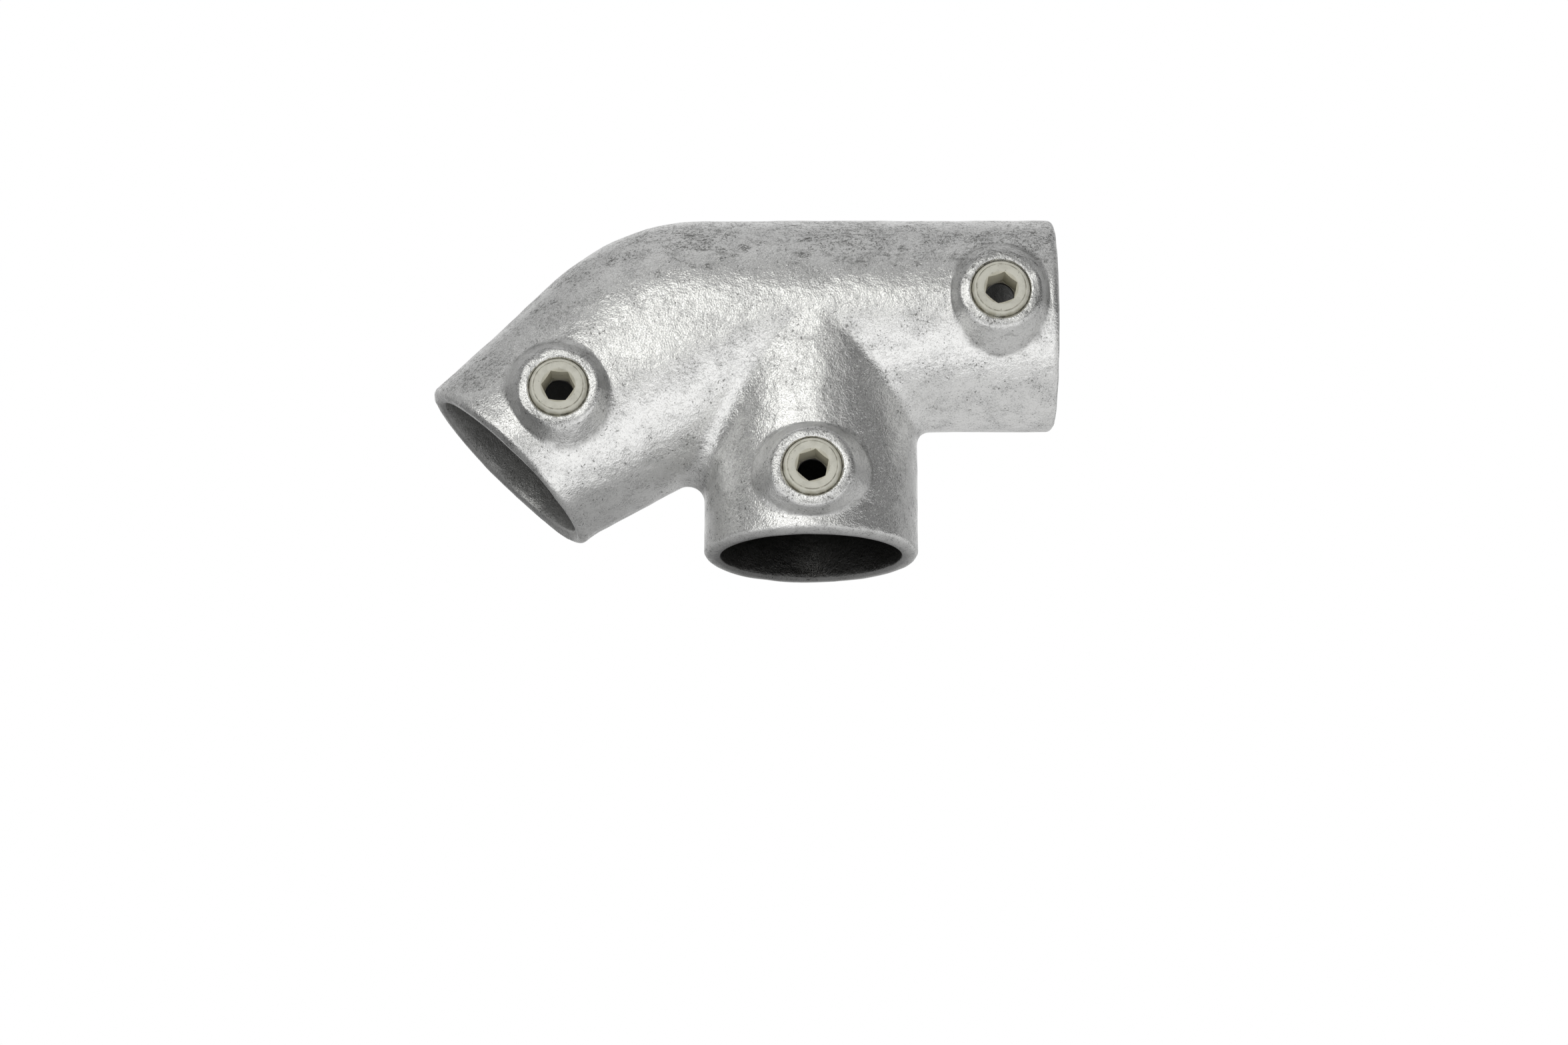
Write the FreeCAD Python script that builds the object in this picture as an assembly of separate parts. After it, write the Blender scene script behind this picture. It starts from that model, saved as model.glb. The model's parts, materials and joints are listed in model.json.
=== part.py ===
# Obtuse three-socket tee for 48.3 mm tube: one hollow casting and three hollow hexagon set screws.
# Millimetres. The post socket opens down on -Z, the rail socket opens on +X, the slope socket opens down
# and to -X, and the set screws face -Y. The origin is the centre of the post socket's mouth.
import FreeCAD, Part
import math
import os

Vector = FreeCAD.Vector

# Outside of the casting
skin_radius = 29.6           # rail barrel, elbow and slope arm
leg_radius = 29.4            # post socket, a little slimmer so that it grows out of the barrel
rail_height = 67.0           # rail axis above the post mouth
rail_reach = 68.0            # rail mouth from the post axis
elbow_reach = 41.7           # where the rail and slope axes meet, from the post axis
slope_reach = 58.9           # slope mouth from there, along the slope axis
steep_angle = 44.3           # upper wall of the slope socket, below level
shallow_angle = 29.0         # its lower wall, so that the tube can swing between the two
shallow_reach = 14.0         # where the lower wall's axis meets the rail axis, from the post axis
mouth_angle = 47.0           # which way the slope mouth faces, below level
elbow_bend = 32.0            # bend radii of the axes: over the elbow, where the lower wall
saddle_bend = 80.0           # runs into the barrel, and where it
throat_bend = 50.0           # parts from the slope socket's mouth
axis_spread = 0.4            # flat left between the upper and lower halves of a mouth
crotch_fillet = 5.0
lip_chamfer = 1.4

# Inside of the casting
bore_radius = 25.0           # sockets, a sliding fit on the tube
bore_chamfer = 0.8
passage_radius = 20.0        # between the sockets, so that each tube stops on a ledge
rail_depth = 44.0
post_depth = 38.0
slope_depth = 36.0
swing_pivot = 7.0            # the sloping tube swings about a point this far inside its mouth
upper_wall = 3.0             # where the slope socket's upper wall begins, above its axis

# Screw bosses
rail_screw_inset = 16.4      # from the rail mouth
post_screw_inset = 16.9      # from the post mouth
slope_screw_inset = 20.3     # from the slope mouth
slope_screw_drop = 1.1       # below the axis of the upper wall
boss_rise = 4.4              # above the crest of the skin
boss_top_radius = 11.0
boss_flare = 29.0            # slope of the flank away from the screw axis
boss_root = 5.5              # how deep the boss is rooted below the crest
boss_foot_fillet = 2.0
boss_chamfer = 0.8
tapping_radius = 8.33        # 3/8 inch pipe thread

# Set screws
screw_radius = 8.25
screw_length = 10.0
screw_stand = 1.1            # outer face above the boss
screw_chamfer = 1.0
hex_flats = 8.0
countersink_radius = 5.3
rail_key_turn = 11.5         # a corner of the hexagon, clockwise from upright
post_key_turn = 11.5
slope_key_turn = 34.0

up = Vector(0, 0, 1)
level = Vector(1, 0, 0)
across = Vector(0, 1, 0)
outward = Vector(0, -1, 0)   # the way every screw backs out
overrun = 5.0                # how far the arm runs on before its mouths are cut
far = 400.0                  # longer than the casting


def climbing(angle):
    return Vector(math.cos(math.radians(angle)), 0, math.sin(math.radians(angle)))


steep = climbing(steep_angle)
shallow = climbing(shallow_angle)
elbow = Vector(-elbow_reach, 0, rail_height)
rail_mouth = Vector(rail_reach, 0, rail_height)
post_mouth = Vector(0, 0, 0)
slope_mouth = elbow - steep * slope_reach
slope_facing = -climbing(mouth_angle)
mouths = ((rail_mouth, level), (post_mouth, -up), (slope_mouth, slope_facing))
above_steep = Vector(-steep.z, 0, steep.x)
below_shallow = Vector(shallow.z, 0, -shallow.x)

rail_screw = rail_mouth - level * rail_screw_inset
post_screw = post_mouth + up * post_screw_inset
slope_screw = slope_mouth + steep * slope_screw_inset - above_steep * slope_screw_drop
screws = (rail_screw, post_screw, slope_screw)


def segment(start, end):
    return Part.LineSegment(start, end).toShape()


def arc_about(centre, start, end):
    middle = (start - centre).normalize() + (end - centre).normalize()
    return Part.Arc(start, centre + middle.normalize() * (start - centre).Length, end).toShape()


def bend_run(radius, turn):
    return radius * math.tan(math.radians(turn / 2))


# A flat region in the plane of the three axes, spread between the upper and the lower axis line, is thickened
# to both sides and rounded along its upper and lower rim. That gives the barrel, the elbow and the slope arm
# as one tube, whose sides are flat only where the two axis lines part. It runs on a little past both mouths.
def rounded_arm(radius):
    half_spread = axis_spread / 2
    top_end = rail_mouth + level * overrun + up * half_spread
    low_end = rail_mouth + level * overrun - up * half_spread
    top_tip = slope_mouth - steep * overrun + above_steep * half_spread
    low_tip = slope_mouth - steep * overrun - above_steep * half_spread

    top_corner = top_tip + steep * ((top_end.z - top_tip.z) / steep.z)
    elbow_run = bend_run(elbow_bend, steep_angle)
    elbow_start = top_corner - steep * elbow_run
    elbow_end = top_corner + level * elbow_run
    elbow_centre = elbow_end - up * elbow_bend

    low_corner = Vector(-shallow_reach, 0, low_end.z)
    saddle_run = bend_run(saddle_bend, shallow_angle)
    saddle_start = low_corner - shallow * saddle_run
    saddle_end = low_corner + level * saddle_run
    saddle_centre = saddle_end - up * saddle_bend

    throat_turn = steep_angle - shallow_angle
    to_throat = above_steep.dot(low_corner - low_tip) / above_steep.dot(shallow)
    throat_corner = low_corner - shallow * to_throat
    throat_run = bend_run(throat_bend, throat_turn)
    throat_start = throat_corner - steep * throat_run
    throat_end = throat_corner + shallow * throat_run
    throat_centre = throat_end + below_shallow * throat_bend

    region = Part.Face(Part.Wire([
        segment(top_tip, elbow_start),
        arc_about(elbow_centre, elbow_start, elbow_end),
        segment(elbow_end, top_end),
        segment(top_end, low_end),
        segment(low_end, saddle_end),
        arc_about(saddle_centre, saddle_end, saddle_start),
        segment(saddle_start, throat_end),
        arc_about(throat_centre, throat_end, throat_start),
        segment(throat_start, low_tip),
        segment(low_tip, top_tip),
    ]))
    region.translate(across * -radius)
    web = region.extrude(across * (2 * radius))

    def half_disc(at, facing):
        left = at - across * radius
        right = at + across * radius
        rounding = Part.Arc(left, at + facing * radius, right).toShape()
        return Part.Face(Part.Wire([rounding, segment(right, left)]))

    roundings = [
        half_disc(top_tip, above_steep).extrude(elbow_start - top_tip),
        half_disc(elbow_end, up).revolve(elbow_centre, outward, steep_angle),
        half_disc(elbow_end, up).extrude(top_end - elbow_end),
        half_disc(low_end, -up).extrude(saddle_end - low_end),
        half_disc(saddle_end, -up).revolve(saddle_centre, outward, shallow_angle),
        half_disc(saddle_start, below_shallow).extrude(throat_end - saddle_start),
        half_disc(throat_end, below_shallow).revolve(throat_centre, outward, throat_turn),
        half_disc(throat_start, -above_steep).extrude(low_tip - throat_start),
    ]
    return web.fuse(roundings).removeSplitter().Solids[0]


# Everything that lies further in than a plane square to a socket, the given depth behind its mouth.
def further_in(mouth, facing, depth):
    return Part.makeCylinder(far, far, mouth - facing * depth, -facing)


def boss(screw):
    height = boss_root + boss_rise
    root_radius = boss_top_radius + height * math.tan(math.radians(boss_flare))
    base = screw + outward * (skin_radius - boss_root)
    return Part.makeCone(root_radius, boss_top_radius, height, base, outward)


def lies_on(edge, distance):
    if edge.Degenerated:
        return False
    return all(abs(distance(point)) < 1e-3 for point in edge.discretize(7))


def foot_edges(skin, screw):
    def from_flank(point):
        height = (point - screw).dot(outward) - skin_radius - boss_rise
        radius = math.hypot(point.x - screw.x, point.z - screw.z)
        return radius - boss_top_radius + height * math.tan(math.radians(boss_flare))

    return [edge for edge in skin.Edges
            if lies_on(edge, from_flank) and edge.Curve.TypeId not in ("Part::GeomLine", "Part::GeomCircle")]


def top_edges(skin, screw):
    def from_top(point):
        return (point - screw).dot(outward) - skin_radius - boss_rise

    def off_axis(edge):
        return (edge.BoundBox.Center - screw).cross(outward).Length

    return [edge for edge in skin.Edges if lies_on(edge, from_top) and off_axis(edge) < boss_top_radius]


def outer_skin():
    leg = Part.makeCylinder(leg_radius, rail_height - axis_spread)
    skin = rounded_arm(skin_radius).fuse(leg).removeSplitter().Solids[0]

    def from_leg(point):
        return math.hypot(point.x, point.y) - leg_radius

    on_leg = [edge for edge in skin.Edges if lies_on(edge, from_leg)]
    crotch = [edge for edge in on_leg if edge.Curve.TypeId == "Part::GeomBSplineCurve"]
    skin = skin.makeFillet(crotch_fillet, crotch)

    for screw in screws:
        skin = skin.fuse(boss(screw)).removeSplitter().Solids[0]
    for mouth, facing in mouths:
        skin = skin.common(further_in(mouth, facing, 0)).Solids[0]
    for screw in screws:
        skin = skin.makeFillet(boss_foot_fillet, foot_edges(skin, screw))
        skin = skin.makeChamfer(boss_chamfer, top_edges(skin, screw))
    return skin.Solids[0]


# Round holes only: each socket's bore, the lower bore that lets the sloping tube swing, and narrower passages
# that meet in a mitre under the elbow and leave a ledge for each tube to stop on. The slope socket's bore is
# in two halves, as its upper wall runs the whole depth and its lower wall ends where the swing begins.
def cavity():
    def hole(radius, start, direction, length):
        return Part.makeCylinder(radius, length, start, direction)

    slope_end = slope_mouth + steep * slope_depth
    rail_end = rail_mouth - level * rail_depth
    post_end = post_mouth + up * post_depth
    slope_bore = hole(bore_radius, slope_end, -steep, far)
    wall_foot = slope_end + above_steep * upper_wall
    pivot = slope_mouth + steep * swing_pivot
    swing = hole(bore_radius, pivot, shallow, far).cut(further_in(slope_mouth, -steep, slope_depth))

    mitre = (level + steep).normalize()
    past_mitre = passage_radius
    level_passage = hole(passage_radius, rail_end, -level, rail_end.x - elbow.x + past_mitre)
    sloping_passage = hole(passage_radius, slope_end, steep, slope_reach - slope_depth + past_mitre)
    return swing.fuse([
        hole(bore_radius, rail_end, level, far),
        hole(bore_radius, post_end, -up, far),
        slope_bore.common(further_in(wall_foot, -above_steep, 0)),
        slope_bore.common(further_in(wall_foot, above_steep, 0)),
        level_passage.common(further_in(elbow, -mitre, 0)),
        sloping_passage.common(further_in(elbow, mitre, 0)),
        hole(passage_radius, post_end, up, rail_height - post_depth),
    ])


def rim_edges(skin, mouth, facing, outer):
    def from_mouth(point):
        return (point - mouth).dot(facing)

    middle = (skin_radius + bore_radius) / 2

    def on_side(edge):
        return all(((point - mouth).Length > middle) == outer for point in edge.discretize(7))

    return [edge for edge in skin.Edges if lies_on(edge, from_mouth) and on_side(edge)]


def tapped_hole(screw):
    top = skin_radius + boss_rise
    return Part.makeCylinder(tapping_radius, top - passage_radius, screw + outward * top, -outward)


def clamp_body():
    casting = outer_skin().cut(cavity()).Solids[0]
    for mouth, facing in mouths:
        casting = casting.makeChamfer(lip_chamfer, rim_edges(casting, mouth, facing, True))
        casting = casting.makeChamfer(bore_chamfer, rim_edges(casting, mouth, facing, False))
    return casting.cut([tapped_hole(screw) for screw in screws]).Solids[0]


# The screw is turned about its axis, then the hexagon is cut right through it.
def set_screw(screw, key_turn):
    face = skin_radius + boss_rise + screw_stand
    tip = face - screw_length
    hex_corner = hex_flats / math.sqrt(3)

    def at(radius, height):
        return screw + outward * height + Vector(radius, 0, 0)

    outline = [
        at(0, tip),
        at(screw_radius, tip),
        at(screw_radius, face - screw_chamfer),
        at(screw_radius - screw_chamfer, face),
        at(countersink_radius, face),
        at(0, face - countersink_radius),
    ]
    half = Part.Face(Part.makePolygon(outline + outline[:1]))
    turned = half.revolve(screw, outward, 360)

    corners = []
    for index in range(7):
        angle = math.radians(key_turn + 60 * index)
        corner = Vector(math.sin(angle), 0, math.cos(angle)) * hex_corner
        corners.append(screw + outward * tip + corner)
    key_way = Part.Face(Part.makePolygon(corners)).extrude(outward * screw_length)
    return turned.cut(key_way).Solids[0]


nodes = {
    "clamp_body": clamp_body(),
    "rail_set_screw": set_screw(rail_screw, rail_key_turn),
    "post_set_screw": set_screw(post_screw, post_key_turn),
    "slope_set_screw": set_screw(slope_screw, slope_key_turn),
}
os.makedirs("parts", exist_ok=True)
for name, shape in nodes.items():
    shape.exportStep(f"parts/{name}.step")
    print(name, shape.ShapeType, shape.isValid(), round(shape.Volume), "mm3")
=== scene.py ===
# Three-socket tee clamp with its set screws, worked out in millimetres.
import json
from math import acos, atan2, cos, pi, radians, sin, tan, tau
import bmesh
import bpy
import numpy as np
from numpy.linalg import norm
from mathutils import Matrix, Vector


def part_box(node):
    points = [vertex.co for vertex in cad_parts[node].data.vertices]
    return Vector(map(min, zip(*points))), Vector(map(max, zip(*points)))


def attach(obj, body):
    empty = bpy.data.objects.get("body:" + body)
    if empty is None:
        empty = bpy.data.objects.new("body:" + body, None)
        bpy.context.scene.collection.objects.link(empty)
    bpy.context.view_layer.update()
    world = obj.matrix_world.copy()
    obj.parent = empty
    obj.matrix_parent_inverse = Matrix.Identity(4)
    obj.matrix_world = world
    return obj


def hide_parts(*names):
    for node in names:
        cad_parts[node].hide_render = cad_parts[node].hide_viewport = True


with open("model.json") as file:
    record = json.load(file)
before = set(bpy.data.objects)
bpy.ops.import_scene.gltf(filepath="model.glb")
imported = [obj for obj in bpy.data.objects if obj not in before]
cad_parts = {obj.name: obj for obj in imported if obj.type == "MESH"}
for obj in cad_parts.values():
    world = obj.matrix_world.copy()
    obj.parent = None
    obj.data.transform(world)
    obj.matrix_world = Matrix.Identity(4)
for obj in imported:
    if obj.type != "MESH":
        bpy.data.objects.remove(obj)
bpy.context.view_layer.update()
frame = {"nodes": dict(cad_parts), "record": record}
mm = 0.001
print("frame loaded:", ", ".join(sorted(frame["nodes"])))

cast = dict(
    skinRadius=29.6, legRadius=29.4,  # arm and barrel, leg
    railHeight=67.0, railReach=68.0,  # rail axis and mouth, from the post mouth
    elbowReach=41.7, slopeReach=58.9,  # elbow from the post axis, slope mouth from the elbow
    steepAngle=44.3, shallowAngle=29.0,  # walls of the slope arm, below level
    shallowReach=14.0, mouthAngle=47.0,  # foot of the lower axis, facing of the slope mouth
    elbowBend=32.0, saddleBend=80.0, throatBend=50.0,  # bends of the two axes
    crotchFillet=5.2, lipRound=1.9, boreRound=0.9,
    railDepth=44.0, postDepth=38.0, slopeDepth=36.0,  # from each mouth to its ledge
    ledgeRound=0.8, ledgeCut=0.25, passageRadius=20.0,
    swingPivot=7.0, tiltFade=18.0,  # where the lower bore starts, and the tilt ends
    mouthShade=0.45, shadeDepth=26.0,  # painted bore shade at a mouth, and depth for one more
)

steepTurn, shallowTurn = (radians(cast[key]) for key in ("steepAngle", "shallowAngle"))
throatTurn = steepTurn - shallowTurn
mouthTilt = tan(radians(cast["mouthAngle"]) - steepTurn)
steep, shallow = (np.array([cos(turn), sin(turn)]) for turn in (steepTurn, shallowTurn))
aboveSteep, aboveShallow = (np.array([-way[1], way[0]]) for way in (steep, shallow))
upright = np.array([0.0, 1.0])
levelWay = np.array([1.0, 0.0])
backWay = np.array([0.0, 1.0, 0.0])
skinRadius, legRadius, railHeight = (cast[key] for key in ("skinRadius", "legRadius", "railHeight"))
boreRadius = frame["record"]["mounts"][0]["dims"]["r_mm"]
elbow = np.array([-cast["elbowReach"], railHeight])
slopeMouth = elbow - cast["slopeReach"] * steep


# Run that a bend takes off its corner: radius times the tangent of half the turn.
def bendRun(bend, turn):
    return cast[bend] * tan(turn / 2)


elbowRun = bendRun("elbowBend", steepTurn)
saddleRun = bendRun("saddleBend", shallowTurn)
throatRun = bendRun("throatBend", throatTurn)
fan = (cast["elbowReach"] - cast["shallowReach"]) / sin(throatTurn)
steepSide = fan * sin(shallowTurn)  # elbow to throat, down the upper axis
shallowSide = fan * sin(steepTurn)  # rail axis to throat, down the lower axis
throat = elbow - steepSide * steep


# Eased share: three squares less two cubes.
def smoothStep(part):
    return part * part * (3 - 2 * part)


# Straight rise from nought to one over a width.
def ramp(value, start, width):
    return np.clip((value - start) / width, 0, 1)


# Values side by side along a last axis.
def join(*parts):
    return np.stack(np.broadcast_arrays(*parts), axis=-1)


# Height of a circle: root of the radius squared less the offset squared.
def roundHeight(radius, off):
    return np.sqrt(np.maximum(radius ** 2 - off ** 2, 0))


# The heading changes evenly along each leg, and the place is its running sum.
def planePath(legs, lead=8.0, step=0.05):
    marksAndShade, turns = np.cumsum([(0, 0), (lead, 0), *legs], axis=0).T
    along = np.linspace(0, marksAndShade[-1], int(marksAndShade[-1] / step))
    facing = np.interp(along, marksAndShade, steepTurn - turns)
    flow = np.stack([np.cos(facing), np.sin(facing)])
    travel = np.cumsum((flow[:, 1:] + flow[:, :-1]) * along[1] / 2, axis=1)
    start = slopeMouth - lead * steep
    x, z = (np.concatenate([[start[k]], start[k] + travel[k]]) for k in (0, 1))
    return dict(along=along - lead, x=x, z=z, facing=facing)


topPath = planePath([
    (cast["slopeReach"] - elbowRun, 0),
    (cast["elbowBend"] * steepTurn, steepTurn),
    (cast["railReach"] + cast["elbowReach"], 0),
])
lowPath = planePath([
    (cast["slopeReach"] - steepSide - throatRun, 0),
    (cast["throatBend"] * throatTurn, throatTurn),
    (shallowSide - throatRun - saddleRun, 0),
    (cast["saddleBend"] * shallowTurn, shallowTurn),
    (cast["railReach"] + cast["shallowReach"], 0),
])
topLength, lowLength = (np.interp(0, path["x"], path["along"]) for path in (topPath, lowPath))


# Place and heading at a length along a path.
def pathAt(path, along):
    return [np.interp(along, path["along"], path[key]) for key in ("x", "z", "facing")]


# Ring of two half circles and straight sides; the share runs evenly from the front over the top.
def stadiumRing(radius, top, low, share):
    side = np.hypot(top[0] - low[0], top[1] - low[1])
    girth = tau * radius + 2 * side
    share = share % 1
    upper = share < 0.5
    half = share % 0.5
    fromSide = np.minimum(half, 0.5 - half) * girth
    lift = np.clip(2 * fromSide / np.maximum(side, 1e-6), 0, 1)
    turn = np.clip((fromSide - side / 2) / radius, 0, pi / 2)
    front = (half < 0.25) == upper
    x, z = ((top[k] + low[k]) / 2 for k in (0, 1))
    nearX, nearZ, facing = (np.where(upper, top[k], low[k]) for k in range(3))
    reach = np.where(upper, radius, -radius) * np.sin(turn)
    x = x + (nearX - x) * lift - np.sin(facing) * reach
    z = z + (nearZ - z) * lift + np.cos(facing) * reach
    return join(x, np.where(front, -radius, radius) * np.cos(turn), z)


# Slope arm: rings between both axes at matching lengths.
def slopeSkin(along, share):
    low = pathAt(lowPath, along * lowLength / topLength)
    return stadiumRing(skinRadius, pathAt(topPath, along), low, share)


# Barrel: rings from the rail axis down to the lower axis.
def railSkin(x, share):
    low = [x] + [np.interp(x, lowPath["x"], lowPath[key]) for key in ("z", "facing")]
    return stadiumRing(skinRadius, [x, np.full_like(x, railHeight), np.zeros_like(x)], low, share)


# Leg: circles about the post axis.
def postSkin(z, share):
    return join(legRadius * np.sin(tau * share), -legRadius * np.cos(tau * share), z)


# Distance outside two half planes whose corner is a bend that starts on the first.
def besideCorner(x, z, start, first, second, bend):
    centre = start - cast[bend] * first
    offX, offZ = x - centre[0], z - centre[1]
    past = np.maximum(offX * first[0] + offZ * first[1], offX * second[0] + offZ * second[1])
    afterFirst = first[0] * offZ - first[1] * offX >= 0
    beforeSecond = offX * second[1] - offZ * second[0] >= 0
    return np.where(afterFirst & beforeSecond, np.hypot(offX, offZ), past) - cast[bend]


# Distance outside the web between both axes, in the middle plane.
def outsideWeb(x, z):
    foot = np.array([saddleRun - cast["shallowReach"], railHeight])
    over = besideCorner(x, z, elbow + elbowRun * levelWay, upright, aboveSteep, "elbowBend")
    saddle = besideCorner(x, z, foot, upright, aboveShallow, "saddleBend")
    gullet = besideCorner(x, z, throat + throatRun * shallow, aboveShallow, aboveSteep, "throatBend")
    return np.maximum(np.maximum(over, -np.maximum(saddle, gullet)), 0)


# The arm's skin is one radius off the web; the way out is the slope of that distance.
def armDistance(points, step=0.01):
    x, y, z = np.moveaxis(points, -1, 0)
    off = outsideWeb(x, z)
    offX = (outsideWeb(x + step, z) - outsideWeb(x - step, z)) / (2 * step)
    offZ = (outsideWeb(x, z + step) - outsideWeb(x, z - step)) / (2 * step)
    reach = np.hypot(off, y)
    return reach - skinRadius, join(off * offX, y, off * offZ) / reach[..., None]


# The leg's skin is one radius off the post axis.
def legDistance(points):
    x, y, z = np.moveaxis(points, -1, 0)
    reach = np.hypot(x, y)
    return reach - legRadius, join(x, y, 0.0) / reach[..., None]


# A ball rolls in the crotch, its radius off both skins, and points between are pushed to it.
def rollFillet(points, rounds=5):
    ball = cast["crotchFillet"]
    for _ in range(rounds):
        offArm, outArm = armDistance(points)
        offLeg, outLeg = legDistance(points)
        both = np.sum(outArm * outLeg, axis=-1)
        spread = np.maximum(1 - both ** 2, 1e-6)
        byArm = ((ball - offArm) - both * (ball - offLeg)) / spread
        byLeg = ((ball - offLeg) - both * (ball - offArm)) / spread
        fromBall = -(byArm[..., None] * outArm + byLeg[..., None] * outLeg)
        length = norm(fromBall, axis=-1)
        touched = (byArm > 0) & (byLeg > 0) & (spread > 1e-3) & (points[..., 2] < railHeight - 1)
        push = np.where(touched, ball / np.maximum(length, 1e-6) - 1, 0)
        points = points + fromBall * push[..., None]
    return points


# Smaller of two values, less a parabola where they are closer than the soft width.
def softMin(a, b, soft):
    near = np.maximum(soft - np.abs(a - b), 0) / soft
    return np.minimum(a, b) - near ** 2 * soft / 4


boss = dict(
    rise=4.4, topRadius=11.1, flare=29.0,  # above the skin, flat top, lean of the flank
    holeRadius=8.12, rimRound=0.3, edgeSoft=1.5, footSoft=0.35,
    lipTrim=dict(rail=0.0, post=0.42, slope=0.0),  # share cut off the lean below
    closest=9.0, widest=22.0,  # flanks lie between these
    edgeFade=0.7, footFade=0.3, footShare=0.7,  # fading of the flank's finish
)


# Boss by distance from its screw: rounded rim, flat top, soft edge and straight leaning flank.
def bossHeight(reach, lean):
    top = skinRadius + boss["rise"]
    flank = top - (reach - boss["topRadius"]) / (lean * tan(radians(boss["flare"])))
    rim = boss["rimRound"]
    sunk = np.clip(boss["holeRadius"] + rim - reach, 0, rim)
    return softMin(top, flank, boss["edgeSoft"]) - rim + roundHeight(rim, sunk)


# A flank is steeper below its screw, by the square of the way down.
def flankLean(socket, way):
    return 1 - boss["lipTrim"][socket["name"]] * np.clip(-way[..., 1], 0, 1) ** 2


# Where a flank meets the skin, found by halving the distance.
def footReach(socket, way, rounds=30):
    lean = flankLean(socket, way)
    near, far = (np.full(way.shape[:-1], boss[key]) for key in ("topRadius", "widest"))
    for _ in range(rounds):
        middle = (near + far) / 2
        x, z = np.moveaxis(socket["centre"] + middle[..., None] * way, -1, 0)
        proud = bossHeight(middle, lean) > socket["height"](x, z)
        near, far = np.where(proud, middle, near), np.where(proud, far, middle)
    return near


# Front of the arm over the middle plane.
def armHeight(x, z):
    return roundHeight(skinRadius, outsideWeb(x, z))


# Front of the leg over the middle plane.
def legHeight(x, z):
    return roundHeight(legRadius, x)


# A point of the middle plane in space.
def asPlace(x, z):
    return np.array([x, 0.0, z])


# A socket: its screw's CAD middle, its skin, its mouth with the ways out and up, its bore.
def socketOf(name, height, mouth, out, side, tilt=0.0, fall=0.0):
    low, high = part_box(name + "_set_screw")
    centre = np.array([(low.x + high.x) / 2, (low.z + high.z) / 2]) / mm
    return dict(name=name, centre=centre, height=height, mouth=asPlace(*mouth), out=asPlace(*out),
                side=asPlace(*side), tilt=tilt, fall=fall, depth=cast[name + "Depth"])


sockets = dict(
    rail=socketOf("rail", armHeight, (cast["railReach"], railHeight), levelWay, upright),
    post=socketOf("post", legHeight, (0.0, 0.0), -upright, levelWay),
    slope=socketOf("slope", armHeight, slopeMouth, -steep, aboveSteep, mouthTilt, tan(throatTurn)),
)

net = dict(
    around=224,  # columns round each socket
    rowStep=dict(rail=0.6, post=0.6, slope=0.68),  # rows round each boss
    boreStep=0.8, farStep=1.7,  # rows round a hole's inner end, and elsewhere
    holeRing=8,  # ring of cells on the rim of a screw hole
    footRing=20, bossRing=24,  # ring on the boss's foot, and the last one moved
    collarRing=12, boreRing=16, collarRadius=10.2,  # the same inside the bore
    frontShare=0.2, frontFade=0.07,  # columns that keep even rows
    driftPower=1.6, frontPower=1.4, tiltPower=4,  # how late the columns turn to the seam
    lipRows=7, edgeRows=4, leadRows=4, tailRows=6, wallRows=5, passageRows=6, mitreRows=(4, 5),
)
columns = np.arange(net["around"])
share = columns / net["around"]
halfWay = net["around"] // 2
under = columns >= halfWay


# A block of cells as rings by the larger offset, the angle even along each side.
def ringBlock(rings):
    steps = np.arange(-rings, rings + 1)
    deep, wide = np.meshgrid(steps, steps, indexing="ij")
    ring = np.maximum(np.abs(deep), np.abs(wide))
    long = np.abs(deep) >= np.abs(wide)
    safeDeep, safeWide = (np.where(part == 0, 1, part) for part in (deep, wide))
    turn = np.where(long, pi / 4 * wide / safeDeep, pi / 2 - pi / 4 * deep / safeWide)
    turn = turn + np.where(np.where(long, deep < 0, wide < 0), pi, 0)
    return deep, wide, ring, turn


# Cells round a hole become rings from its rim to the reach, then spread to the block's edge.
def setRound(grid, centreRow, rings, lastRing, centre, height, reachOf):
    deep, wide, ring, turn = ringBlock(rings)
    rows = centreRow + deep
    across = wide % grid.shape[1]
    plain = grid[rows, across][..., [0, 2]]
    down = plain[rings + 1, rings] - plain[rings - 1, rings]
    aside = plain[rings, rings + 1] - plain[rings, rings - 1]
    down = down / norm(down)
    aside = aside - (aside @ down) * down
    aside = aside / norm(aside)
    way = np.cos(turn)[..., None] * down + np.sin(turn)[..., None] * aside
    first, hole = net["holeRing"], boss["holeRadius"]
    part = np.minimum((ring - first) / (lastRing - first), 1)
    ringed = centre + (hole + (reachOf(way) - hole) * part)[..., None] * way
    border = ring == rings
    order = np.argsort(turn[border] % tau)
    around = (turn[border] % tau)[order]
    edge = [np.interp(turn, around, plain[border][order, k], period=tau) for k in (0, 1)]
    hold = np.clip((rings - ring) / (rings - lastRing), 0, 1)[..., None]
    x, z = np.moveaxis(ringed * hold + join(*edge) * (1 - hold), -1, 0)
    grid[rows, across] = join(x, -height(x, z), z)


# Row lengths from the mouth: even round the boss, wider towards the crotch.
def rowLadder(inset, reach, step):
    lip, rings = cast["lipRound"], net["bossRing"]
    start = inset - rings * step
    before = max(round((start - lip) / step), 0)
    lead = np.linspace(lip, start, before + 1)[:-1]
    block = inset + step * np.arange(-rings, rings + 1)
    block[0] = start if before else lip
    count = int((reach - block[-1]) / net["farStep"])
    tail = np.linspace(block[-1], reach, count + 1)[1:]
    return np.concatenate([lead, block, tail]), len(lead) + rings


# The outsides meet in front and behind, where leg and barrel are equally deep.
poleSide = railHeight - np.interp(0, lowPath["x"], lowPath["z"])
poleGirth = tau * skinRadius + 2 * poleSide
poleShare = (poleSide / 2 + skinRadius * acos(legRadius / skinRadius)) / poleGirth
seamShare = np.where(
    under,
    0.5 + poleShare + (columns - halfWay) / halfWay * (0.5 - 2 * poleShare),
    -poleShare + columns / halfWay * (0.5 + 2 * poleShare),
)


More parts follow.
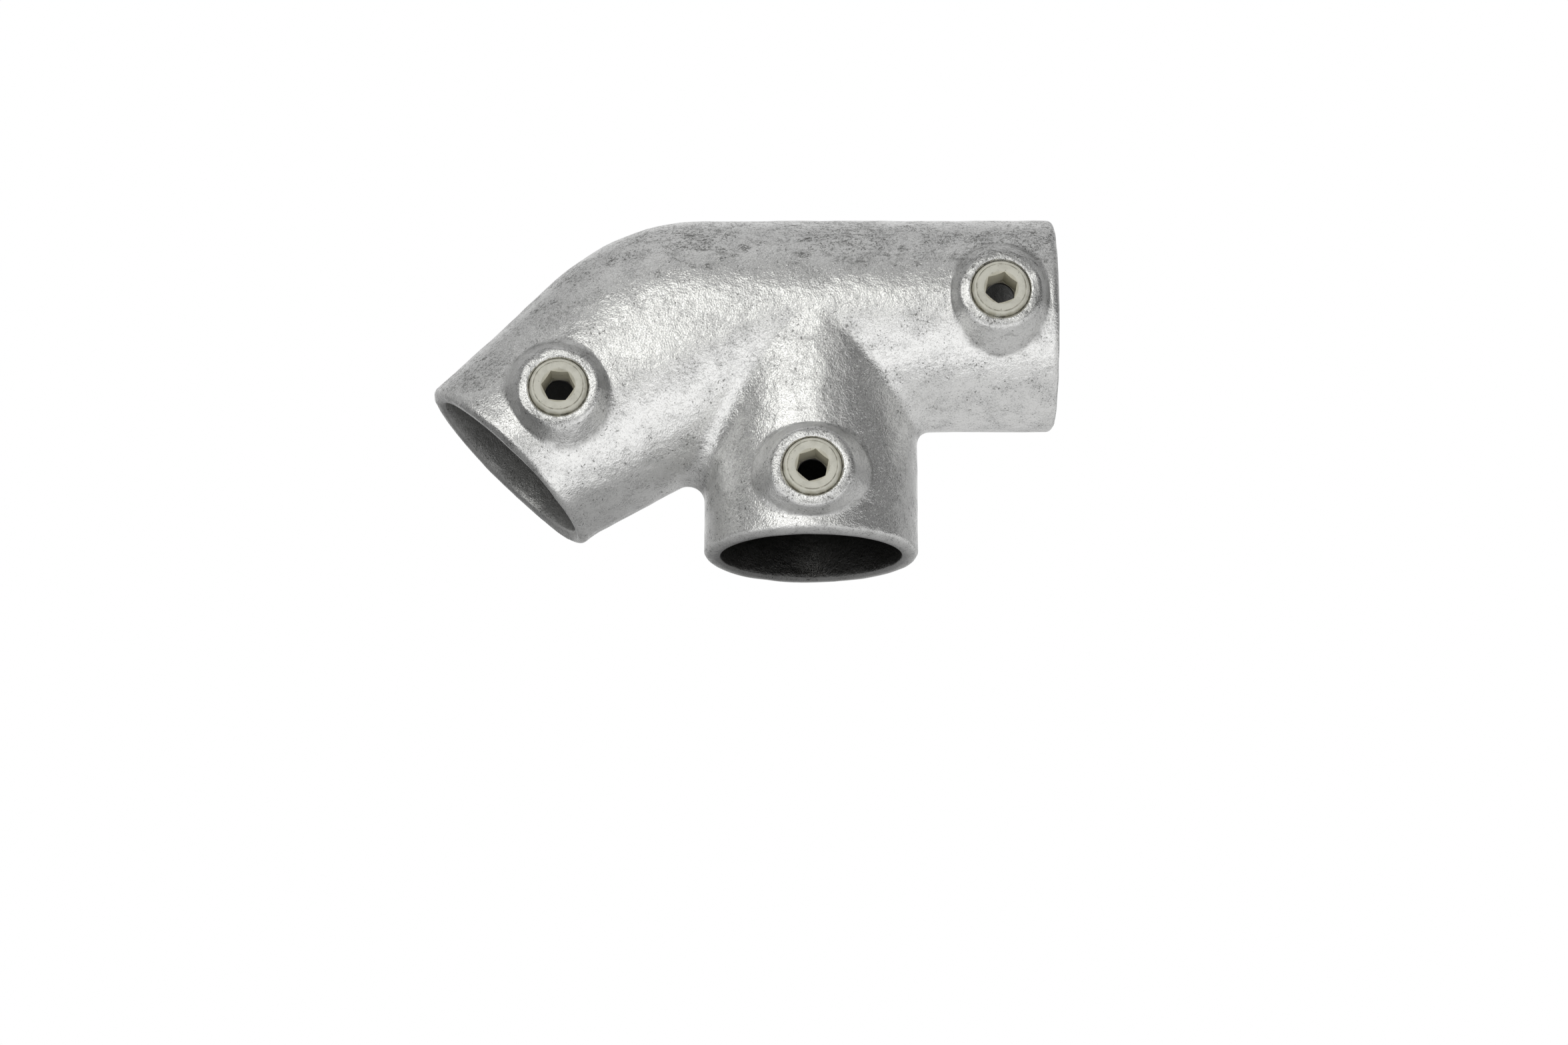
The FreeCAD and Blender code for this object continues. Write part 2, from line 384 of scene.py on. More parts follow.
# The barrel ends over the post axis above, and on the leg's circle below.
def railSeam(rounds=8):
    x = np.where(under, legRadius / 2, 0.0)
    for _ in range(rounds):
        x = np.where(under, roundHeight(legRadius, railSkin(x, seamShare)[:, 1]), 0.0)
    return x


# The arm's lower columns end where they first enter the leg's circle.
def slopeSeam(count=600):
    along = np.linspace(0, topLength, count)[:, None]
    points = slopeSkin(along, seamShare[None, :])
    inside = np.hypot(points[..., 0], points[..., 1]) - legRadius
    first = np.maximum(np.argmax(inside < 0, axis=0), 1)
    before, after = inside[first - 1, columns], inside[first, columns]
    part = before / np.where(before == after, 1, before - after)
    met = along[first - 1, 0] + part * (along[1, 0] - along[0, 0])
    met = np.where((inside < 0).any(axis=0), met, topLength)
    return np.where(under & (columns > halfWay), met, topLength)


# Columns are stretched to the seam; the front keeps even rows round the boss.
def outerNet(ladder, reach, seamReach, seamAt, blockEnd, tilt):
    rung, lip = ladder[:, None], ladder[0]
    run = (rung - lip) / (reach - lip)
    beyond = ramp(rung, blockEnd, reach - blockEnd)
    fromFront = np.minimum(share, 1 - share)
    front = smoothStep(np.clip((net["frontShare"] - fromFront) / net["frontFade"], 0, 1))
    stretched = lip + run * (seamReach - lip)
    held = np.minimum(rung, blockEnd) + beyond * (seamReach - blockEnd)
    tilted = tilt * np.sin(tau * share) * (1 - run) ** net["tiltPower"]
    swing = (seamAt - share + 0.5) % 1 - 0.5
    drift = run ** net["driftPower"]
    drift = drift + front * (beyond ** net["frontPower"] - drift)
    return stretched + front * (held - stretched) - tilted, share + swing * drift


# Outside of a socket from lip to seam, with the fillet rolled in and the boss raised.
def outerSkin(socket, inset, reach, place, seamReach, seamAt, tilt=0.0):
    rings, centre = net["bossRing"], socket["centre"]
    ladder, centreRow = rowLadder(inset, reach, net["rowStep"][socket["name"]])
    lengths, shares = outerNet(ladder, reach, seamReach, seamAt, ladder[centreRow + rings], tilt)
    grid = rollFillet(place(lengths, shares))
    setRound(grid, centreRow, rings, net["footRing"], centre, socket["height"],
             lambda way: footReach(socket, way))
    off = grid[..., [0, 2]] - centre
    fromScrew = norm(off, axis=-1)
    lean = flankLean(socket, off / np.maximum(fromScrew, 1)[..., None])
    raised = softMin(grid[..., 1], -bossHeight(fromScrew, lean), boss["footSoft"])
    grid[..., 1] = np.where((grid[..., 1] < 0) & (fromScrew < boss["widest"]), raised, grid[..., 1])
    return grid, centreRow


# Length along the fanned arm at which its screw stands.
def fanInset(centre, span=(5, 40), count=400):
    along = np.linspace(*span, count)
    front = slopeSkin(along, np.zeros_like(along))[:, [0, 2]] - slopeMouth
    return np.interp((centre - slopeMouth) @ steep, front @ steep, along)


# The leg's seam is the rail's lower half, run backwards, then the slope's.
def outerSkins():
    rail, post, slope = sockets.values()
    railX, slopeAlong = railSeam(), slopeSeam()
    railEnd = railSkin(railX, seamShare)
    slopeEnd = slopeSkin(slopeAlong, seamShare)
    backwards = -columns % len(columns)
    postEnd = np.where(under[:, None], slopeEnd, railEnd[backwards])
    postEnd[0] = railEnd[0]
    postAt = np.arctan2(postEnd[:, 0], -postEnd[:, 1]) / tau
    reach = cast["railReach"]
    skins = dict(
        rail=outerSkin(rail, reach - rail["centre"][0], reach, lambda d, s: railSkin(reach - d, s),
                       reach - railX, seamShare),
        post=outerSkin(post, post["centre"][1], postEnd[0, 2], postSkin, postEnd[:, 2], postAt),
        slope=outerSkin(slope, fanInset(slope["centre"]), topLength, slopeSkin, slopeAlong, seamShare,
                        mouthTilt * skinRadius),
    )
    # neighbours share their points along the seams
    railGrid, postGrid, slopeGrid = (grid for grid, row in skins.values())
    slopeGrid[-1, :halfWay + 1] = railGrid[-1, :halfWay + 1]
    postGrid[-1] = np.where(under[:, None], slopeGrid[-1], railGrid[-1, backwards])
    return skins


# Ring of a bore at a depth; its lower half may hang lower by the fall.
def insideRing(socket, depth, radius, fall=0.0):
    nought = np.zeros_like(share)
    ring = stadiumRing(radius, [nought, nought, nought], [nought, nought - fall, nought], share)
    out = socket["tilt"] * max(1 - depth / cast["tiltFade"], 0) * ring[:, 2] - depth
    return (socket["mouth"] + out[:, None] * socket["out"] + ring[:, 2:] * socket["side"]
            + ring[:, 1:2] * backWay)


# Hang of a bore's lower half: the depth beyond the pivot times the fall.
def fallAt(socket, depth):
    return np.maximum(depth - cast["swingPivot"], 0) * socket["fall"]


# Height of a bore's wall, from the distance above its upper or below its lower axis.
def boreHeight(socket, x, z):
    off = join(x - socket["mouth"][0], z - socket["mouth"][2])
    rise = off @ socket["side"][[0, 2]]
    fall = fallAt(socket, -(off @ socket["out"][[0, 2]]))
    return roundHeight(boreRadius, np.maximum(np.maximum(rise, -rise - fall), 0))


# Inside of a socket: a rounded edge, the bore and a ledge with soft corners.
def innerSkin(socket):
    centre = socket["centre"]
    inset = (asPlace(*centre) - socket["mouth"]) @ -socket["out"]
    edge = np.linspace(0, pi / 2, net["edgeRows"])
    soft, corner, cut = cast["boreRound"], cast["ledgeRound"], cast["ledgeCut"]
    step, rings = net["boreStep"], net["boreRing"]
    lead = np.linspace(soft, inset - rings * step, net["leadRows"])[1:-1]
    tail = np.linspace(inset + rings * step, socket["depth"] - corner, net["tailRows"])[1:]
    depths = np.concatenate([lead, inset + step * np.arange(-rings, rings + 1), tail])
    rows = [insideRing(socket, soft * (1 - cos(a)), boreRadius + soft * (1 - sin(a))) for a in edge]
    centreRow = len(rows) + len(lead) + rings
    rows += [insideRing(socket, depth, boreRadius, fallAt(socket, depth)) for depth in depths]
    narrow = boreRadius - cast["passageRadius"]
    ledge = [(-cut, cut), (0.0, corner), (0.0, narrow - corner), (cut, narrow - cut), (corner, narrow)]
    for further, inward in ledge:
        depth = socket["depth"] + further
        fall = fallAt(socket, depth) * (1 - inward / narrow)
        rows.append(insideRing(socket, depth, boreRadius - inward, fall))
    grid = np.stack(rows)
    setRound(grid, centreRow, rings, net["collarRing"], centre, lambda x, z: boreHeight(socket, x, z),
             lambda way: net["collarRadius"])
    return grid, centreRow


# Even rows from one row of points to another, without the first.
def between(start, end, count):
    return start + (end - start) * np.linspace(0, 1, count + 1)[1:, None, None]


# The lip: a quarter circle in each column, from the outside to the mouth's face.
def lipRows(socket, wall):
    turn = tau * share[:, None]
    outwards = np.sin(turn) * socket["side"] - np.cos(turn) * backWay
    roll = np.linspace(0, pi / 2, net["lipRows"])[1:, None, None]
    return wall + cast["lipRound"] * (np.sin(roll) * socket["out"] - (1 - np.cos(roll)) * outwards)


# Passages meet on planes at 45 degrees; the sloping one turns level on a mitre plane.
def passageRows(name, ledge):
    rise = cast["passageRadius"] * np.sin(tau * share)
    y = -cast["passageRadius"] * np.cos(tau * share)
    count = net["passageRows"]
    if name == "post":
        return between(ledge, join(rise, y, railHeight - np.abs(rise)), count)
    sunk = np.maximum(-rise, 0)
    end = join(sunk if name == "rail" else -sunk, y, railHeight + rise)
    if name == "rail":
        return between(ledge, end, count)
    mitre = asPlace(*(steep + levelWay))
    forward = ((asPlace(*elbow) - ledge) @ mitre) / (asPlace(*steep) @ mitre)
    corner = ledge + forward[:, None] * asPlace(*steep)
    first, second = net["mitreRows"]
    return np.concatenate([between(ledge, corner, first), between(corner, end, second)])


# Quads of a grid whose rows close; its last row may join the first.
def gridFaces(rows, count, offset=0, closed=False):
    row, column = np.meshgrid(np.arange(rows if closed else rows - 1), np.arange(count), indexing="ij")
    here, below, after = row * count, (row + 1) % rows * count, (column + 1) % count
    return offset + join(here + column, below + column, below + after, here + after)


# Cells inside the first ring of a block are left out.
def openHole(faces, centreRow):
    cells = np.arange(-net["holeRing"], net["holeRing"])
    keep = np.ones(faces.shape[:2], bool)
    keep[np.ix_(centreRow + cells, cells % faces.shape[1])] = False
    return keep


# Numbers of the points on the first ring, by angle.
def holeRim(centreRow, way, offset):
    deep, wide, ring, turn = ringBlock(net["holeRing"])
    rim = ring == net["holeRing"]
    order = np.argsort(turn[rim] % tau)
    return offset + (centreRow + way * deep[rim][order]) * len(columns) + wide[rim][order] % len(columns)


# Each socket is one grid from seam over the lip to seam, with a lining in its hole.
def clampPoints():
    skins = outerSkins()
    points, faces, inside, offset = [], [], [], 0
    for name, socket in sockets.items():
        outer, outerRow = skins[name]
        inner, innerRow = innerSkin(socket)
        lip = lipRows(socket, outer[0])
        grid = np.concatenate([outer[::-1], lip, inner, passageRows(name, inner[-1])])
        lead = len(outer) + len(lip)
        outerCentre = len(outer) - 1 - outerRow
        innerCentre = lead + innerRow
        cells = gridFaces(len(grid), len(columns), offset)
        cells = cells[openHole(cells, outerCentre) & openHole(cells, innerCentre)]
        mouth = holeRim(outerCentre, -1, offset)
        floor = holeRim(innerCentre, 1, offset)
        flat = grid.reshape(-1, 3)
        wall = between(flat[mouth - offset], flat[floor - offset], net["wallRows"])[:-1]
        wallSize = wall.shape[0] * wall.shape[1]
        wallStart = offset + len(flat)
        wallRings = wallStart + np.arange(wallSize).reshape(wall.shape[:2])
        rings = np.concatenate([mouth[None], wallRings, floor[None]])
        after = np.roll(rings, -1, axis=1)
        lining = join(rings[:-1], after[:-1], after[1:], rings[1:]).reshape(-1, 4)
        points += [flat, wall.reshape(-1, 3)]
        faces += [cells[:, ::-1] if name == "slope" else cells, lining]
        # depth inside, which also paints shade into the bores: nought outside, up to one behind the mouth, two
        # in the screw hole
        behindMouth = (socket["mouth"] - grid[lead:]) @ socket["out"]
        least = cast["mouthShade"]
        deepness = np.clip(least + behindMouth / cast["shadeDepth"], least, 1)
        inside += [np.zeros(lead * len(columns)), deepness.ravel(), np.full(wallSize, 2.0)]
        offset = wallStart + wallSize
    points, faces, inside = (np.concatenate(parts) for parts in (points, faces, inside))
    # seams are sewn up by place, and unused points dropped
    used, faces = np.unique(faces, return_inverse=True)
    faces = faces.reshape(-1, 4)
    points, inside = points[used], inside[used]
    _, first, link = np.unique(np.round(points, 4), axis=0, return_index=True, return_inverse=True)
    return points[first], link.reshape(-1)[faces], inside[first]


# Smooth random field: lattice numbers eased between the eight nearest.
def lumps(points, cell, seed, size=48, shift=20.37):
    lattice = np.random.default_rng(seed).uniform(-1, 1, (size, size, size))
    spot = points / cell + shift
    base = np.floor(spot).astype(int)
    part = smoothStep(spot - base)
    total = np.zeros(len(points))
    for corner in np.ndindex(2, 2, 2):
        near = np.where(np.array(corner) == 1, part, 1 - part).prod(axis=1)
        total += near * lattice[tuple(((base + corner) % size).T)]
    return total


# Point normals: sums of the cross products of the quads' diagonals.
def pointNormals(points, faces):
    a, b, c, d = points[faces.T]
    flat = np.repeat(np.cross(c - a, d - b), 4, axis=0)
    normals = join(*[np.bincount(faces.ravel(), flat[:, k], len(points)) for k in range(3)])
    return normals / np.maximum(norm(normals, axis=1), 1e-9)[:, None]


# An object made of its data, in the scene.
def addObject(name, data):
    made = bpy.data.objects.new(name, data)
    bpy.context.scene.collection.objects.link(made)
    return made


# Smooth mesh turned outwards, sharp above an angle, with values at its points.
def meshObject(name, points, faces, layers, sharpAngle=None):
    mesh = bpy.data.meshes.new(name)
    mesh.from_pydata(points * mm, [], faces)
    shell = bmesh.new()
    shell.from_mesh(mesh)
    bmesh.ops.recalc_face_normals(shell, faces=shell.faces)
    shell.to_mesh(mesh)
    shell.free()
    mesh.shade_smooth()
    if sharpAngle is not None:
        mesh.set_sharp_from_angle(angle=radians(sharpAngle))
    for key, values in layers.items():
        layer = mesh.attributes.new(key, "FLOAT", "POINT")
        layer.data.foreach_set("value", np.ascontiguousarray(values.ravel(), dtype=np.float32))
    return addObject(name, mesh)


# Share of each point in a boss's flank, faded at edge and foot, and a band of painted shade in the corner of
# its foot.
def flankShare(points):
    shares, footCreaseShade = np.zeros((2, len(points)))
    for socket in sockets.values():
        off = points[:, [0, 2]] - socket["centre"]
        reach = norm(off, axis=1)
        near = np.flatnonzero((reach > boss["closest"]) & (reach < boss["widest"]) & (points[:, 1] < 0))
        foot = footReach(socket, off[near] / reach[near, None])
        beforeFoot = (foot - reach[near]) / boss["footFade"]
        lean = ramp(reach[near], boss["topRadius"], boss["edgeFade"])
        lean = lean * np.clip(beforeFoot + boss["footShare"], 0, 1)
        shares[near] = np.maximum(shares[near], lean)
        footCreaseShade[near] = np.maximum(footCreaseShade[near], np.exp(-beforeFoot ** 2))
    return shares, footCreaseShade


roughCast = dict(
    swell=0.17, swellCell=17.0, ripple=0.11, rippleCell=5.4,  # height and size of the waves
    pimple=0.035, pimpleCell=2.6, flankLoss=0.6,  # and less on a flank
    bossLump=0.36, bossLumpCell=3.3, bossMiddle=10.4, bossBand=1.9,  # on a band of the top
    stillTo=8.6, stillFade=0.6, boreShare=0.5,  # none on a hole's rim, less in the bores
    seam=0.12, seamWidth=1.1,  # the mould's parting line
    ridge=0.09, ridgeWidth=2.4, ridgeAside=2.4, ridgeTop=70.0, ridgeFade=20.0,  # upright, on the leg
    upperFrom=0.1, upperFade=0.8, upperLowest=40.0,  # upward facing skin, flecked and darkened with painted shade
    backFrom=-4.0, backFade=22.0, backLoss=0.6,  # and how much less at the back
)


# Unevenness along the normals: waves, pimples, lumps on boss tops and the mould's ridge.
def buildClamp():
    points, faces, inside = clampPoints()
    normals = pointNormals(points, faces)
    c = roughCast
    bare = inside == 0
    outside = np.where(bare, 1.0, np.where(inside < 2, c["boreShare"], 0.0))
    x, y, z = points.T
    centres = [socket["centre"] for socket in sockets.values()]
    fromScrew = np.min([np.hypot(x - centre[0], z - centre[1]) for centre in centres], axis=0)
    fromScrew = np.where(y < 0, fromScrew, np.inf)
    onBoss = np.clip(1 - np.abs(fromScrew - c["bossMiddle"]) / c["bossBand"], 0, 1) * bare
    flank, foot = [shares * bare for shares in flankShare(points)]
    still = ramp(fromScrew, c["stillTo"], c["stillFade"])
    ridge = (y < 0) * (1 - flank) * np.clip((c["ridgeTop"] - z) / c["ridgeFade"], 0, 1)
    push = (c["swell"] * lumps(points, c["swellCell"], 3) + c["ripple"] * lumps(points, c["rippleCell"], 5)
            + c["pimple"] * (1 - c["flankLoss"] * flank) * lumps(points, c["pimpleCell"], 7)
            + c["bossLump"] * onBoss * lumps(points, c["bossLumpCell"], 11)
            + c["seam"] * bare * np.exp(-(y / c["seamWidth"]) ** 2)
            + c["ridge"] * ridge * np.exp(-((x - c["ridgeAside"]) / c["ridgeWidth"]) ** 2))
    outwards = 1.0 if np.sum(normals[:, 2] * z * outside) > 0 else -1.0
    points = points + normals * (outwards * push * outside * still)[:, None]
    upper = ramp(outwards * normals[:, 2], c["upperFrom"], c["upperFade"]) * (points[:, 2] > c["upperLowest"])
    upper = upper * (1 - c["backLoss"] * ramp(points[:, 1], c["backFrom"], c["backFade"]))
    # foot is a band of painted shade along each boss's foot crease
    piece = meshObject("cast_clamp", points, faces, dict(
        inside=np.minimum(inside, 1), flank=flank, bossTop=onBoss, foot=foot, upper=upper))
    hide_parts("clamp_body")
    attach(piece, "casting")
    print("casting:", len(points), "points,", len(faces), "quads")
    return piece


clampPiece = buildClamp()

screws = dict(
    crest=8.02, pitch=1.337, threadDepth=0.8, threadFlat=0.15, threadFlank=0.72,  # last two in half turns
    runIn=0.9, runOut=0.5, tipChamfer=1.0,  # fading of the thread at both ends
    faceRadius=6.6, faceRings=(5.9, 6.5), rimRadius=7.92, rimDepth=1.9, rimTurns=9,
    groove=((0.06, 0.16), (0.2, 0.2), (0.28, 0.1)),  # round the face: further out, and depth
    rimStart=0.4, rimDrop=0.1,  # outside the groove, a little lower
    countersink=4.72, sinkEdge=0.04, sinkRound=0.15,
    flats=8.0, keyDepth=8.2, keyRows=(0.3, 0.6, 0.85),  # hexagon of the key hole
    drill=3.93, drillStep=0.05, tipRing=6.4, cupDepth=0.9, cupRound=0.4,  # round hole behind it, and tip
    keyTurn=dict(rail=11.5, post=11.5, slope=34.0),
    around=192, threadRows=76, sharpAngle=28.0,
    lineAt=0.13, lineWidth=0.16, lineDepth=0.5,  # darker in the groove
    darkBelowFrom=0.85, darkBelowFade=0.4, darkBelowTo=3.0,  # and below the rim
    oliveFrom=0.55, oliveFade=0.6, edgeShare=0.3,
)


# One closed profile round the axis: the thread follows the depth less the angle's share of a pitch, and
# the hexagon the distance to its flats.
def buildScrew(name):
    node = name + "_set_screw"
    low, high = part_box(node)
    length = (high.y - low.y) / mm
    centre = sockets[name]["centre"]
    s = screws
    turn = tau * np.arange(s["around"]) / s["around"]
    sixth = pi / 3
    hexagon = s["flats"] / 2 / np.cos((turn - radians(s["keyTurn"][name])) % sixth - sixth / 2)
    mouthDepth = s["countersink"] - hexagon
    flat, rim, drop, key = s["faceRadius"], s["rimDepth"], s["rimDrop"], s["keyDepth"]
    rows = [(hexagon, mouthDepth), (s["countersink"], s["sinkEdge"])]
    rows += [(reach, 0.0) for reach in (s["countersink"] + s["sinkRound"], *s["faceRings"], flat)]
    rows += [(flat + further, depth) for further, depth in s["groove"]]
    rimStart = flat + s["rimStart"]
    for a in np.linspace(0, pi / 2, s["rimTurns"])[:-1]:
        reach = rimStart + (s["rimRadius"] - rimStart) * sin(a)
        rows.append((reach, drop + (rim - drop) * (1 - cos(a))))
    threadEnd = length - s["tipChamfer"]
    for depth in np.linspace(rim, threadEnd, s["threadRows"]):
        slant = np.abs(2 * ((depth / s["pitch"] - turn / tau) % 1) - 1)
        fade = min((depth - rim) / s["runIn"], 1) * min((threadEnd - depth) / s["runOut"], 1)
        groove = ramp(slant, s["threadFlat"], s["threadFlank"])
        rows.append((s["crest"] - s["threadDepth"] * groove * fade, depth))
    rows += [(s["crest"] - s["tipChamfer"], length), (s["tipRing"], length)]
    rows += [(reach, length - s["cupDepth"]) for reach in (s["drill"] + s["cupRound"], s["drill"])]
    rows += [(s["drill"], key + s["drillStep"]), (hexagon, key)]
    rows += [(hexagon, key + (mouthDepth - key) * k) for k in s["keyRows"]]
    reach, depth = (np.stack([np.broadcast_to(row[k], turn.shape) for row in rows]) for k in (0, 1))
    points = join(centre[0] + reach * np.sin(turn), low.y / mm + depth, centre[1] + reach * np.cos(turn))
    faces = gridFaces(len(rows), s["around"], closed=True).reshape(-1, 4)
    # rows of the hexagon with its chamfer, and of the drilled hole
    keyed, holeShade = np.zeros((2, *reach.shape))
    keyed[[0, -4, -3, -2, -1]] = 1
    keyed[1] = s["edgeShare"]
    # the drilled hole behind the hexagon is painted near black as shade
    holeShade[-7:-4] = 1
    holeShade[-4] = s["edgeShare"]
    # darker in the groove and below the rim
    lined = np.exp(-((reach - flat - s["lineAt"]) / s["lineWidth"]) ** 2) * (depth < s["lineDepth"])
    darkBelow = ramp(depth, s["darkBelowFrom"], s["darkBelowFade"]) * (reach > flat) * (depth < s["darkBelowTo"])
    rimmed = ramp(reach - flat, s["oliveFrom"], s["oliveFade"])
    piece = meshObject(name + "_grub_screw", points.reshape(-1, 3), faces, dict(
        keyHole=keyed, outerRim=rimmed, holeShade=holeShade, lined=np.maximum(lined, darkBelow)), s["sharpAngle"])
    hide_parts(node)
    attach(piece, name + "_screw")
    return piece


screwPieces = [buildScrew(name) for name in sockets]
print("set screws:", len(screwPieces), "pieces of", len(screwPieces[0].data.polygons), "quads")


# A socket that can be reckoned with: each operator adds a Math node.
class Wire:
    def __init__(self, socket):
        self.socket = socket

    # any other node, with wires or fixed values on its inputs
    def node(self, kind, sockets, out=0, **settings):
        tree = self.socket.id_data
        made = tree.nodes.new("ShaderNode" + kind)
        for name, value in settings.items():
            setattr(made, name, value)
        for name, value in sockets.items():
            if isinstance(value, Wire):
                tree.links.new(value.socket, made.inputs[name])
            else:
                made.inputs[name].default_value = value
        return Wire(made.outputs[out])

    def reckon(self, operation, first, second):
        return self.node("Math", {0: first, 1: second}, operation=operation)

    def __add__(self, other):
        return self.reckon("ADD", self, other)

    def __sub__(self, other):
        return self.reckon("SUBTRACT", self, other)

    def __rsub__(self, other):
        return self.reckon("SUBTRACT", other, self)

    def __mul__(self, other):
        return self.reckon("MULTIPLY", self, other)

    __radd__, __rmul__ = __add__, __mul__

    def into(self, shader, name):
        self.socket.id_data.links.new(self.socket, shader.inputs[name])


# Smooth rise from nought to one between two values.
def eased(value, ends):
    return value.node("MapRange", {0: value, 1: ends[0], 2: ends[1]}, interpolation_type="SMOOTHSTEP")


# A value moved towards a goal by a share.
def toward(value, goal, share):
    return value + share * (goal - value)


# A share raised to its least.
def atLeast(least, share):
    return least + (1 - least) * share


# One colour over another by a share.
def blend(share, first, second):
    return share.node("Mix", {0: share, 6: first, 7: second}, 2, data_type="RGBA")


# A grey with a little less blue, for a warm one.
def grey(level, warm=0.0):
    return (level, level, level * (1 - warm), 1)


# A value kept at the mesh's points.
def attribute(start, name):
    return start.node("Attribute", {}, "Fac", attribute_name=name)


# One for camera rays, and one for mirrored rays.
def raysOf(start):
    return [start.node("LightPath", {}, name) for name in ("Is Camera Ray", "Is Glossy Ray")]


# New material on a piece, its first wire and object coordinates.
def newFinish(name, piece):
    material = bpy.data.materials.new(name)
    material.use_nodes = True
    shader = material.node_tree.nodes["Principled BSDF"]
    piece.data.materials.append(material)
    start = Wire(shader.outputs[0])
    return shader, start, start.node("TexCoord", {}, "Object")


# Noise with a cell in millimetres, drawn out sideways by the stretch.
def noise(coords, cell, detail, rough, stretch=None):
    if stretch is not None:
        coords = coords.node("Mapping", {"Vector": coords, "Scale": (stretch, 1, 1)})
    return coords.node("TexNoise", {
        "Vector": coords, "Scale": 1 / (cell * mm), "Detail": detail, "Roughness": rough})


zinc = dict(
    # grey and yellowness of each layer
    bright=(0.96, 0.014), dull=(0.76, 0.007), spangle=(0.97, 0.014), flank=(0.50, 0.014),
    pit=(0.22, 0.014), fleck=(0.11, 0.06), hollow=(0.08, 0.04),
    smooth=0.225, matt=0.35, metal=0.94, metalLoss=0.54,  # clean and dull; outside, and less inside
    # cell in millimetres, detail, roughness and stretch of each noise
    noises=dict(
        grain=(0.48, 2, 0.55), peel=(1.2, 2, 0.5), wave=(3.4, 1, 0.5), mottle=(6.5, 4, 0.6),
        spangle=(1.3, 3, 0.65), pit=(0.5, 3, 0.75), hair=(1.0, 2, 0.5), speck=(0.8, 2, 0.5),
        cloud=(12, 4, 0.6, 0.5), broken=(1.0, 4, 0.7, 0.6), stroke=(1.5, 3, 0.6, 0.4), patch=(4.5, 3, 0.6, 0.6),
    ),
    # where each mask starts, and where it is full
    edges=dict(
        pit=(0.53, 0.65), weathered=(0.22, 0.6), dull=(0.42, 0.66), thick=(0.38, 0.58), spangle=(0.5, 0.66),
        hair=(0.025, 0.05), broken=(0.43, 0.51), smudge=(0.55, 0.62), stroke=(0.62, 0.65), patch=(0.58, 0.68),
        patchGrain=(0.43, 0.54), patchUpper=(0.0, 0.25), speck=(0.66, 0.73), foot=(0.35, 0.6),
    ),
    # how far a slower noise shifts a mask
    shifts=dict(weathered=0.8, grains=0.4, thick=0.6, pit=0.3, smudge=0.5, speck=0.35, onBoss=0.05),
    mottleDull=0.4, weatheredDull=0.6,
    # strength of each mark, the foot's being painted shade in its crease, and its least where the zinc is clean
    # or thin
    marksAndShade=dict(hair=0.75, smudge=0.22, speck=0.7, stroke=0.8, patch=0.72, foot=0.4),
    cleanLeast=dict(hair=0.26, stroke=0.3, patch=0.18), thinLeast=dict(hair=0.5, stroke=0.2),
    covers=dict(spangle=0.4, flank=0.36, bossTop=0.55, pit=0.45, inside=0.95),  # shares of the other greys
    roughens=dict(marked=0.15, flank=0.08, inside=0.12),
    bumps=dict(grain=0.13, peel=0.14, wave=0.25), markDepth=0.04,  # heights in millimetres
    calms=dict(flank=0.15, bossTop=0.3, inside=0.5, weathered=0.35),  # and how much less of them there
)


